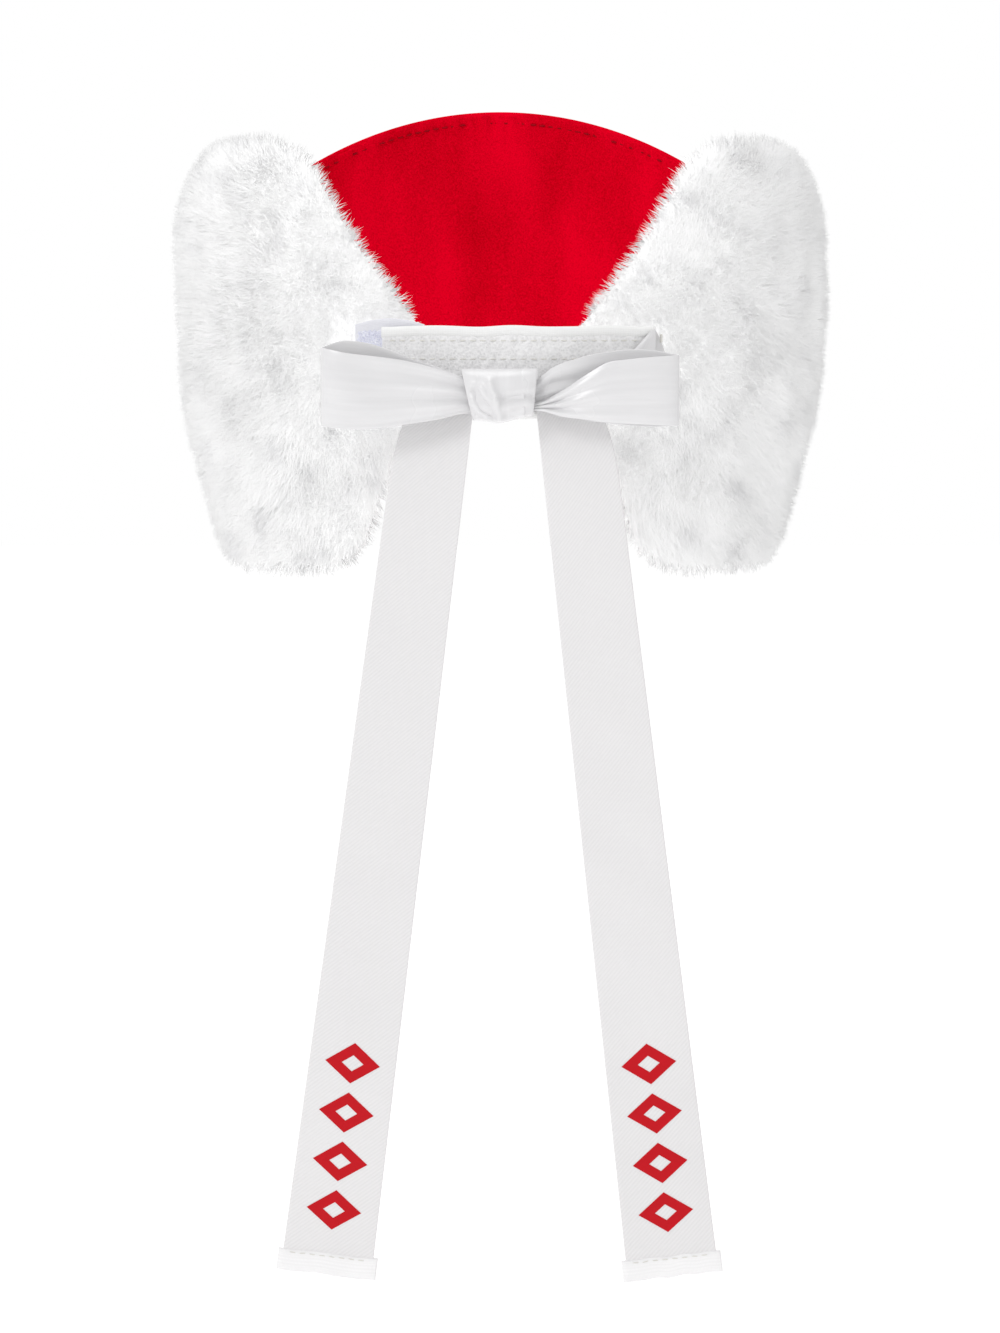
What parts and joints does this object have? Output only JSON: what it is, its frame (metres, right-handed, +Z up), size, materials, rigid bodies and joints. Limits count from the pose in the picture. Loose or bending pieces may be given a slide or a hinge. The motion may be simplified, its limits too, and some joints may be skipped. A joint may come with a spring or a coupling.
{
  "type": "cheer hair bow headband",
  "caption": "Open-crown winter headband with white fur ear flaps, a red velvet front panel, and a satin bow with long printed tails on its hook-and-loop back strap.",
  "frame": {"origin": "centre of the head opening, at half the height of the back strap", "axes": "+Z up, +Y towards the forehead, -Y towards the back of the head where the bow sits, +X to the right as seen from behind"},
  "size_m": [0.252, 0.2083, 0.4343],
  "materials": {
    "red_velvet": "cotton velvet with a short upright pile",
    "stiffener": "woven buckram",
    "red_thread": "polyester sewing thread",
    "white_thread": "polyester sewing thread",
    "sweatband_cotton": "soft cotton twill",
    "strap_cloth": "looped boucle knit",
    "wadding": "bonded polyester wadding",
    "binding_tape": "smooth folded binding tape",
    "hook_tape": "woven nylon hook tape",
    "loop_tape": "brushed nylon loop tape",
    "lavender_cloth": "plain weave backing cloth",
    "white_satin": "polyester satin with a soft shine",
    "white_fur": "dense plush fur pile",
    "fleece_lining": "short pile fleece",
    "ribbon_twill": "fine twill ribbon, matte",
    "red_ink": "heat-pressed film"
  },
  "bodies": {
    "crown": {"front_binding_stitches": "red_thread", "front_panel_binding": "red_velvet", "front_panel_lining": "red_velvet", "front_panel_stiffener": "stiffener", "front_panel_velvet": "red_velvet", "left_side_fur": "white_fur", "left_side_lining": "fleece_lining", "left_side_wadding": "wadding", "loop_patch": "loop_tape", "loop_tab": "lavender_cloth", "right_side_fur": "white_fur", "right_side_lining": "fleece_lining", "right_side_wadding": "wadding", "strap_root_tab": "white_satin", "strap_root_tacks": "white_thread", "sweatband": "sweatband_cotton"},
    "left_flap": {"left_flap_fur": "white_fur", "left_flap_lining": "fleece_lining", "left_flap_wadding": "wadding"},
    "right_flap": {"right_flap_fur": "white_fur", "right_flap_lining": "fleece_lining", "right_flap_wadding": "wadding"},
    "tail_left": {"tail_left": "ribbon_twill", "tail_left_hem": "ribbon_twill", "tail_left_hem_stitches": "white_thread", "tail_left_print": "red_ink"},
    "tail_right": {"tail_right": "ribbon_twill", "tail_right_hem": "ribbon_twill", "tail_right_hem_stitches": "white_thread", "tail_right_print": "red_ink"},
    "back_strap": {"bow_gathered_centre": "white_satin", "bow_knot_wrap": "white_satin", "bow_loop_left": "white_satin", "bow_loop_right": "white_satin", "hook_patch": "hook_tape", "strap_bottom_binding": "binding_tape", "strap_core": "wadding", "strap_face": "strap_cloth", "strap_lining": "strap_cloth", "strap_top_binding": "binding_tape", "strap_topstitching": "white_thread", "tail_left_root": "ribbon_twill", "tail_right_root": "ribbon_twill"}
  },
  "joints": [
    {"name": "strap_opening", "type": "hinge", "parent": "crown", "child": "back_strap", "pos_m": [0.055, -0.08992, 0], "axis": [0, 0, 1], "range_deg": [0, 90]},
    {"name": "tail_left_lift", "type": "hinge", "parent": "back_strap", "child": "tail_left", "pos_m": [-0.024, -0.1043, -0.0225], "axis": [-0.9917, 0, 0.1288], "range_deg": [0, 90]},
    {"name": "tail_right_lift", "type": "hinge", "parent": "back_strap", "child": "tail_right", "pos_m": [0.0273, -0.1043, -0.0225], "axis": [-0.9932, 0, -0.1167], "range_deg": [0, 90]},
    {"name": "left_flap_lift", "type": "hinge", "parent": "crown", "child": "left_flap", "pos_m": [-0.09667, -0.03518, -0.018], "axis": [-0.342, 0.9397, 0], "range_deg": [0, 25], "stiffness_Nm_per_rad": 0.02, "springref_deg": -20.05},
    {"name": "right_flap_lift", "type": "hinge", "parent": "crown", "child": "right_flap", "pos_m": [0.09667, -0.03518, -0.018], "axis": [-0.342, -0.9397, 0], "range_deg": [0, 25], "stiffness_Nm_per_rad": 0.02, "springref_deg": -20.05}
  ]
}
